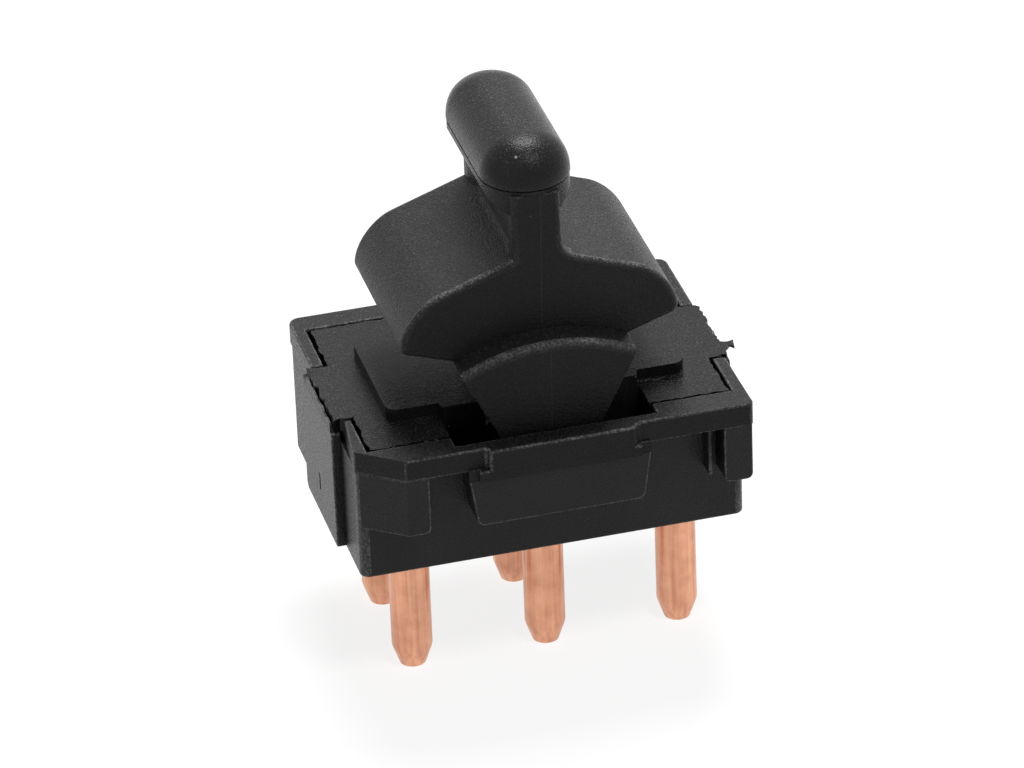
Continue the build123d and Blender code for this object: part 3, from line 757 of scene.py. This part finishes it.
strip = bmesh.new()
strip.faces.new([strip.verts.new(p + outward * w + set_back)
                 for p, w in ((first, rooted), (last, rooted), (last, proud), (first, proud))])
bmesh.ops.subdivide_edges(strip, edges=[e for e in strip.edges if all(map(stands_out, e.verts))], cuts=26)
rng = random.Random(12)
for v in strip.verts:
    if stands_out(v):
        v.co += outward * rng.uniform(0.0, 0.16) ** 1.5 + along * rng.uniform(-0.08, 0.08)
strip.faces.ensure_lookup_table()
extrude(strip, strip.faces[0], 0.14, plan=False)
combine(rocker, strip)
finish(rocker, "rocker", "rocker", slot="rocker")


# %% [markdown]
# ## The contact pins
# Each pin is drawn copper wire, pressed to a tapered tip. A turned part is easiest as a spin: a half outline of
# the pin goes once round its axis. The edge of the taper is drawn with three close points, so that it catches the
# light as a worn edge does.

# %% A helper that spins one pin
pin_outline = [(0.0, 0.0), (0.72, 0.0), (0.82, 0.06), (1.18, 1.12), (1.22, 1.26), (1.25, 1.42), (1.25, 9.5),
               (0.0, 9.5)]


def pin_mesh(x, y):
    """A round pin, standing at x and y."""
    bm = bmesh.new()
    line = [bm.verts.new((r, 0, z)) for r, z in pin_outline]
    rungs = [bm.edges.new(pair) for pair in zip(line, line[1:])]
    bmesh.ops.spin(bm, geom=line + rungs, cent=(0, 0, 0), axis=(0, 0, 1), angle=2 * math.pi, steps=56,
                   use_merge=True)
    bmesh.ops.remove_doubles(bm, verts=bm.verts, dist=0.0005)
    bmesh.ops.recalc_face_normals(bm, faces=bm.faces)
    bmesh.ops.translate(bm, verts=bm.verts, vec=(x, y, 0))
    return bm


# %% [markdown]
# Every pin has two ears, coined out of the wire, that key it into the floor of the box. The two middle pins also
# carry the cradle that a contact lever rocks in: a pad, a ridge and four posts. The CAD pieces that are taller
# than the floor are the ones with a cradle, so the height tells them apart.

# %% The cradle and the five pins
floor_top = 9.5


def add_cradle(pin, x, y, top):
    """The pad, the ridge and the four posts on a middle pin."""
    combine(pin, box(x - 1.3, x + 1.3, y - 1.7, y + 1.7, 9.4, 9.75))
    combine(pin, box(x - 0.3, x + 0.3, y - 1.7, y + 1.7, 9.6, 10.1))
    for side in (-1, 1):
        for end in (-1, 1):
            x0, x1 = sorted((x + side * 0.55, x + side * 1.15))
            y0, y1 = sorted((y + end * 1.25, y + end * 1.7))
            combine(pin, box(x0, x1, y0, y1, 9.6, top))


for node in sorted(n for n in frame["nodes"] if n.startswith("terminal_")):
    low, high = reach(node)
    x, y = (low.x + high.x) / 2, (low.y + high.y) / 2
    pin = piece_from(pin_mesh(x, y), node.replace("terminal", "pin"))
    combine(pin, box(x - 1.75, x + 1.75, y - 0.6, y + 0.6, floor_top - 0.5, floor_top - 0.01))
    if high.z > floor_top + 0.5:
        add_cradle(pin, x, y, high.z)
    finish(pin, "housing", node, slot="copper", sharp=40)


# %% [markdown]
# ## A small kit for node materials
# A finish is a tree of small nodes. Each helper adds one node, sets its numbers and gives back its output, so a
# recipe reads from top to bottom instead of as a tangle of wires. All patterns read object coordinates, scaled so
# that one unit is a millimetre, because a grain is easier to judge against a size that can be measured.

# %% Nodes that make patterns
def new_material(name):
    """An empty node material with its tree, its shader, and a coordinate output measured in mm."""
    material = bpy.data.materials.new(name)
    material.use_nodes = True
    tree = material.node_tree
    scale = tree.nodes.new("ShaderNodeMapping")
    scale.inputs["Scale"].default_value = (1 / MM, 1 / MM, 1 / MM)
    tree.links.new(tree.nodes.new("ShaderNodeTexCoord").outputs["Object"], scale.inputs["Vector"])
    return material, tree, tree.nodes["Principled BSDF"], scale.outputs["Vector"]


def noise(tree, place, scale, detail=3.0, rough=0.55):
    """Soft clouds. A scale of 1 makes them about a millimetre wide."""
    node = tree.nodes.new("ShaderNodeTexNoise")
    node.inputs["Scale"].default_value = scale
    node.inputs["Detail"].default_value = detail
    node.inputs["Roughness"].default_value = rough
    tree.links.new(place, node.inputs["Vector"])
    return node.outputs["Fac"]


def cells(tree, place, scale):
    """Distance to the nearest of many scattered points."""
    node = tree.nodes.new("ShaderNodeTexVoronoi")
    node.inputs["Scale"].default_value = scale
    tree.links.new(place, node.inputs["Vector"])
    return node.outputs["Distance"]


def split(tree, vector):
    """The X, Y and Z outputs of a vector."""
    node = tree.nodes.new("ShaderNodeSeparateXYZ")
    tree.links.new(vector, node.inputs["Vector"])
    return node.outputs


print("patterns ready: noise and cells, measured in mm")


# %% [markdown]
# A pattern on its own is only a number from 0 to 1. Four more helpers turn numbers into a range, into other
# numbers, into a colour and into a bump.

# %% Nodes that use patterns
def spread(tree, value, low, high, out_low, out_high):
    """Maps part of a value's range onto another."""
    node = tree.nodes.new("ShaderNodeMapRange")
    for name, number in (("From Min", low), ("From Max", high), ("To Min", out_low), ("To Max", out_high)):
        node.inputs[name].default_value = number
    tree.links.new(value, node.inputs["Value"])
    return node.outputs["Result"]


def maths(tree, operation, *values):
    """One sum of numbers or outputs."""
    node = tree.nodes.new("ShaderNodeMath")
    node.operation = operation
    for i, value in enumerate(values):
        if isinstance(value, (int, float)):
            node.inputs[i].default_value = value
        else:
            tree.links.new(value, node.inputs[i])
    return node.outputs["Value"]


def times(tree, first, second):
    return maths(tree, "MULTIPLY", first, second)


def blend_colour(tree, amount, first, second):
    """Goes from the first colour to the second as amount goes from 0 to 1."""
    node = tree.nodes.new("ShaderNodeMix")
    node.data_type = "RGBA"
    tree.links.new(amount, node.inputs["Factor"])
    for socket, colour in ((node.inputs[6], first), (node.inputs[7], second)):
        if isinstance(colour, tuple):
            socket.default_value = (*colour, 1)
        else:
            tree.links.new(colour, socket)
    return node.outputs[2]


def bump(tree, shader, height, strength, depth, under=None):
    """Turns a height into a bump, on top of another bump if one is given."""
    node = tree.nodes.new("ShaderNodeBump")
    node.inputs["Strength"].default_value = strength
    node.inputs["Distance"].default_value = depth * MM
    tree.links.new(height, node.inputs["Height"])
    if under:
        tree.links.new(under, node.inputs["Normal"])
    tree.links.new(node.outputs["Normal"], shader.inputs["Normal"])
    return node.outputs["Normal"]


# %% [markdown]
# ## Black moulded plastic: where it is worn and where highlights are painted
# Fingers and grit polish a moulding along its eased edges. The same edges also get a painted highlight, a paler line
# that stands in for the light they catch. The attribute from the finishing step gives the edges, and the direction of
# a face tells which faces look up, where painted sparks of light go. Two noises break up the wear and the painted
# highlight, because real wear is never an even line.

# %% Wear and painted highlights on the plastic
def facing_up(tree):
    """1 on faces that look up, and 0.3 on upright faces and undersides."""
    normal = tree.nodes.new("ShaderNodeNewGeometry").outputs["Normal"]
    return spread(tree, split(tree, normal)["Z"], 0.25, 0.8, 0.3, 1.0)


def rubbed_and_highlit_edges(tree, place):
    """How far the eased edges are rubbed, and how strongly they carry a painted highlight."""
    wear_and_highlight = tree.nodes.new("ShaderNodeAttribute")
    wear_and_highlight.attribute_name = "wear_and_highlight"
    patches = spread(tree, noise(tree, place, 1.3), 0.35, 0.65, 0.55, 1.0)
    grit = spread(tree, noise(tree, place, 7.0, 1.0), 0.42, 0.62, 0.4, 1.0)
    return times(tree, wear_and_highlight.outputs["Fac"], times(tree, patches, grit))


# %% [markdown]
# ## Black moulded plastic: its colour and its painted highlights
# The plastic is nearly black, and its tone changes slowly over several millimetres. Tiny pale sparks are painted on
# the faces that look up, as a painted glint of light on the grain. The eased edges are painted paler still, as wear
# and as a painted highlight. All tones are multiples of the one black, so the recipe can be used for another colour.

# %% Colour of the plastic, with painted highlights
def tinted(tone, factor):
    return tuple(c * factor for c in tone)


def plastic_colour(tree, place, tone, rub_and_highlight, upward):
    """The tone with its slow changes, its painted sparks of light, and its edges painted paler as wear and as a
    painted highlight.
    """
    slow = spread(tree, noise(tree, place, 0.22, 2.0), 0.3, 0.7, 0, 1)
    base = blend_colour(tree, slow, tinted(tone, 0.7), tinted(tone, 1.2))
    # Painted highlight: pale sparks on the grain of faces that look up, where light would glint.
    painted_sparks = times(tree, spread(tree, noise(tree, place, 8.0, 1.0), 0.55, 0.68, 0, 0.9), upward)
    base = blend_colour(tree, maths(tree, "POWER", painted_sparks, 1.5), base, tinted(tone, 6.5))
    # The eased edges are painted paler, partly as wear and partly as a painted highlight where they catch the light.
    return blend_colour(tree, maths(tree, "POWER", rub_and_highlight, 1.6), base, tinted(tone, 22))


def dusted(tree, place, base, amount):
    """Adds specks of dust, a few millimetres apart."""
    spot = spread(tree, cells(tree, place, 0.42), 0.0, 0.035, 1.0, 0.0)
    return blend_colour(tree, times(tree, spot, amount), base, (0.55, 0.53, 0.5))


def nicked(tree, place, base, centre):
    """Adds one pale nick, a fifth of a millimetre across."""
    gap = tree.nodes.new("ShaderNodeVectorMath")
    gap.operation = "DISTANCE"
    gap.inputs[1].default_value = centre
    tree.links.new(place, gap.inputs[0])
    return blend_colour(tree, spread(tree, gap.outputs["Value"], 0.05, 0.11, 1.0, 0.0), base, (0.5, 0.49, 0.47))


# %% [markdown]
# ## Black moulded plastic: its grain and its mould line
# The mould was etched by sparks, which leaves a fine grain of pits and bumps a tenth of a millimetre wide. Cells with
# a finer noise on top give that. On the rocker, the two halves of the mould also met on a line up the front of the
# cheek and the neck. It is a low ridge, so it goes over the grain as a second bump. It is also painted a little
# paler, as a painted highlight along the ridge.

# %% Grain and mould line
def grain_height(tree, place):
    """Pits and bumps from spark erosion."""
    return maths(tree, "ADD", times(tree, cells(tree, place, 7.0), 0.5), noise(tree, place, 11.0, 2.0))


def mould_line(tree, axis, top):
    """1 on the line where the mould's halves met, which drifts a little and ends at a height of top."""
    drift = times(tree, maths(tree, "SUBTRACT", axis["Z"], 18.0), 0.018)
    off = maths(tree, "ABSOLUTE", maths(tree, "SUBTRACT", axis["X"], drift))
    under_top = spread(tree, axis["Z"], top, top + 0.1, 1.0, 0.0)
    return times(tree, spread(tree, off, 0.02, 0.06, 1.0, 0.0), under_top)


# %% [markdown]
# ## Black moulded plastic: put together
# The finish of one piece is now a short recipe. The grip of the rocker is a special case: hands have rubbed it,
# so above its parting line the grain fades and the gloss rises. The specular level is set low, because dark
# plastic gives back little of a white room.

# %% The plastic
def plastic(name, tone, gloss, shine, grain, dust, rubbed_above=None, nick=None):
    """Dark plastic: colour, roughness, specular level, strength of grain, dust, the height above which hands have
    rubbed it, and the place of a pale nick."""
    material, tree, shader, place = new_material(name)
    upward, rub_and_highlight = facing_up(tree), rubbed_and_highlit_edges(tree, place)
    # On the rocker, the eased edges are painted paler only where they look up. This is partly wear and partly a
    # painted highlight.
    if rubbed_above:
        rub_and_highlight = times(tree, rub_and_highlight, upward)
    base = dusted(tree, place, plastic_colour(tree, place, tone, rub_and_highlight, upward), dust)
    if nick:
        base = nicked(tree, place, base, nick)
    rough = spread(tree, noise(tree, place, 10.0, 1.0), 0.35, 0.65, gloss - 0.12, gloss + 0.1)
    rough = maths(tree, "SUBTRACT", rough, times(tree, rub_and_highlight, 0.12))
    height = grain_height(tree, place)
    if rubbed_above:
        axis = split(tree, place)
        kept = spread(tree, axis["Z"], rubbed_above - 1.2, rubbed_above + 1.0, 1.0, 0.3)
        rough = maths(tree, "SUBTRACT", rough, spread(tree, kept, 0.3, 1.0, 0.13, 0.0))
        grained = bump(tree, shader, times(tree, height, kept), grain, 0.1)
        line = mould_line(tree, axis, rubbed_above)
        bump(tree, shader, line, 0.8, 0.03, grained)
        # The mould line is painted paler: a painted highlight along the ridge.
        base = blend_colour(tree, times(tree, line, 0.3), base, tinted(tone, 6.5))
    else:
        bump(tree, shader, height, grain, 0.1)
    shader.inputs["Specular IOR Level"].default_value = shine
    tree.links.new(base, shader.inputs["Base Color"])
    tree.links.new(rough, shader.inputs["Roughness"])
    return material


# %% [markdown]
# The four mouldings came out of four moulds, and don't match quite. The plate is the glossiest and has the
# faintest grain, the rocker is the dullest and has the strongest, and the box and the rim have gathered the most
# dust. The nick is on the front of the grip, where something sharp has hit it.

# %% The four black mouldings
black = (0.0115, 0.0115, 0.0112)
finishes = {
    "housing": plastic("housing plastic", black, 0.36, 0.21, 0.45, 0.8),
    "frame": plastic("frame plastic", black, 0.32, 0.14, 0.5, 0.8),
    "plate": plastic("plate plastic", black, 0.24, 0.14, 0.25, 0.6),
    "rocker": plastic("rocker plastic", black, 0.38, 0.17, 0.75, 0.35, rubbed_above=parting - 0.1,
                      nick=(-0.9, -4.93, 33.86)),
}
print("plastics ready:", ", ".join(finishes))


# %% [markdown]
# ## Copper, silver, bronze and steel
# Drawn copper has streaks that run along the wire, from the die it was pulled through. The streaks come from
# noise that is squeezed across the pin and stretched along it. The same recipe with other colours and other
# stretch directions serves the rolled strips, the contacts and the spring wire.

# %% Drawn and rolled metals
def metal(name, colour, tarnish, gloss, stretch, strength=0.3):
    """A bare metal. stretch squeezes its streaks across x, y and z."""
    material, tree, shader, place = new_material(name)
    pull = tree.nodes.new("ShaderNodeMapping")
    pull.inputs["Scale"].default_value = stretch
    tree.links.new(place, pull.inputs["Vector"])
    streak = noise(tree, pull.outputs["Vector"], 1.0, 4.0, 0.6)
    both = maths(tree, "ADD", times(tree, streak, 0.6), times(tree, noise(tree, place, 0.8), 0.4))
    tree.links.new(blend_colour(tree, spread(tree, both, 0.38, 0.62, 0, 1), colour, tarnish),
                   shader.inputs["Base Color"])
    tree.links.new(spread(tree, streak, 0.3, 0.7, gloss - 0.07, gloss + 0.1), shader.inputs["Roughness"])
    shader.inputs["Metallic"].default_value = 1.0
    bump(tree, shader, streak, strength, 0.02)
    return material


finishes["copper"] = metal("drawn copper", (0.80, 0.41, 0.26), (0.58, 0.26, 0.16), 0.3, (3.0, 3.0, 0.1), 0.22)
finishes["silver_contact"] = metal("silver contact", (0.78, 0.77, 0.74), (0.50, 0.48, 0.44), 0.35, (3, 3, 3))
finishes["contact_strip"] = metal("rolled bronze", (0.80, 0.55, 0.33), (0.55, 0.34, 0.18), 0.32, (0.5, 6, 6))
finishes["spring_steel"] = metal("spring wire", (0.62, 0.62, 0.63), (0.38, 0.38, 0.39), 0.28, (2, 2, 9))
print("finishes so far:", len(finishes))


# %% [markdown]
# The two plungers inside are natural plastic, the colour of bone, and waxy rather than metallic. Soft clouds of
# two close colours and a shallow bump are enough for a piece that is hardly ever seen.

# %% Natural plastic for the plungers
waxy, tree, shader, place = new_material("natural plastic")
tree.links.new(blend_colour(tree, spread(tree, noise(tree, place, 1.2), 0.3, 0.7, 0, 1), (0.66, 0.62, 0.52),
                            (0.76, 0.73, 0.64)), shader.inputs["Base Color"])
tree.links.new(spread(tree, noise(tree, place, 3.0), 0.3, 0.7, 0.38, 0.5), shader.inputs["Roughness"])
bump(tree, shader, noise(tree, place, 5.0), 0.2, 0.02)
finishes["plunger"] = waxy
print("plungers are of", waxy.name)


# %% [markdown]
# ## Giving out the finishes
# The record names a material slot for every CAD piece. So one loop can dress the pieces that are kept from CAD,
# and a second one dresses the new pieces, which noted their slots when they were finished.

# %% Dress every piece
slot_of = {part["node"]: part["material_slot"] for part in frame["record"]["subparts"]}
for node, thing in frame["nodes"].items():
    thing.data.materials.clear()
    thing.data.materials.append(finishes[slot_of[node]])
for piece, slot in dressed.items():
    piece.data.materials.clear()
    piece.data.materials.append(finishes[slot])
print(len(dressed), "new pieces and", len(frame["nodes"]), "CAD nodes have their finish")


# %% [markdown]
# ## The floor
# The switch stands on a plain pale floor, as wide as a studio. It should look white without throwing light up
# under the switch, so it is grey to the lamps, and a glow that only the camera and mirror-like reflections see
# makes up the rest.

# %% A pale floor
def seen_directly(tree):
    """1 for rays from the camera and for reflected or transmitted ones, 0 for scattered light."""
    path = tree.nodes.new("ShaderNodeLightPath")
    mirrored = maths(tree, "MAXIMUM", path.outputs["Is Glossy Ray"], path.outputs["Is Transmission Ray"])
    return maths(tree, "MAXIMUM", path.outputs["Is Camera Ray"], mirrored)


def with_glow(tree, surface, strength):
    """Adds a white glow to a surface that scattered light doesn't pick up."""
    glow = tree.nodes.new("ShaderNodeEmission")
    glow.inputs["Color"].default_value = (1, 1, 1, 1)
    tree.links.new(times(tree, seen_directly(tree), strength), glow.inputs["Strength"])
    both = tree.nodes.new("ShaderNodeAddShader")
    tree.links.new(surface, both.inputs[0])
    tree.links.new(glow.outputs[0], both.inputs[1])
    return both.outputs[0]


grid = bmesh.new()
bmesh.ops.create_grid(grid, x_segments=1, y_segments=1, size=4000)
bmesh.ops.scale(grid, verts=grid.verts, vec=(MM, MM, MM))
floor = piece_from(grid, "floor")
pale = bpy.data.materials.new("pale floor")
pale.use_nodes = True
shader = pale.node_tree.nodes["Principled BSDF"]
shader.inputs["Base Color"].default_value = (0.3, 0.3, 0.3, 1)
shader.inputs["Roughness"].default_value = 0.9
shader.inputs["Specular IOR Level"].default_value = 0.0
pale.node_tree.links.new(with_glow(pale.node_tree, shader.outputs[0], 0.84),
                         pale.node_tree.nodes["Material Output"].inputs["Surface"])
floor.data.materials.append(pale)
print("floor laid")


# %% [markdown]
# ## The lamps and the world
# A black thing shows its shape best by what it reflects. One large soft lamp hangs above and behind the switch,
# so the tops of the wings and the plate are lit and the front stays dark. A small lamp high in front draws a
# bright line along the eased edges, and a weak wide one lifts the left side. The world is white only for the
# camera and for reflections, so it adds little light of its own.

# %% Lamps and world
def lamp(name, place, size, power, aim=Vector((0, 0, 0.02))):
    """A square soft lamp that looks at the switch. Place and size are in metres, power in watts."""
    light = bpy.data.lights.new(name, "AREA")
    light.shape, light.size, light.energy = "SQUARE", size, power
    thing = bpy.data.objects.new(name, light)
    scene.collection.objects.link(thing)
    thing.location = place
    thing.rotation_euler = (aim - Vector(place)).to_track_quat("-Z", "Y").to_euler()


lamp("top", (0.10, 0.26, 0.54), 0.26, 2.7)
lamp("highlight", (0.12, -0.28, 0.58), 0.12, 0.9)
lamp("left fill", (-0.7, -0.35, 0.3), 0.5, 0.25)
world = bpy.data.worlds.new("studio")
world.use_nodes = True
scene.world = world
sky = world.node_tree.nodes["Background"]
sky.inputs["Color"].default_value = (1, 1, 1, 1)
world.node_tree.links.new(spread(world.node_tree, seen_directly(world.node_tree), 0, 1, 0.1, 1.0),
                          sky.inputs["Strength"])
scene.view_settings.view_transform = "Standard"
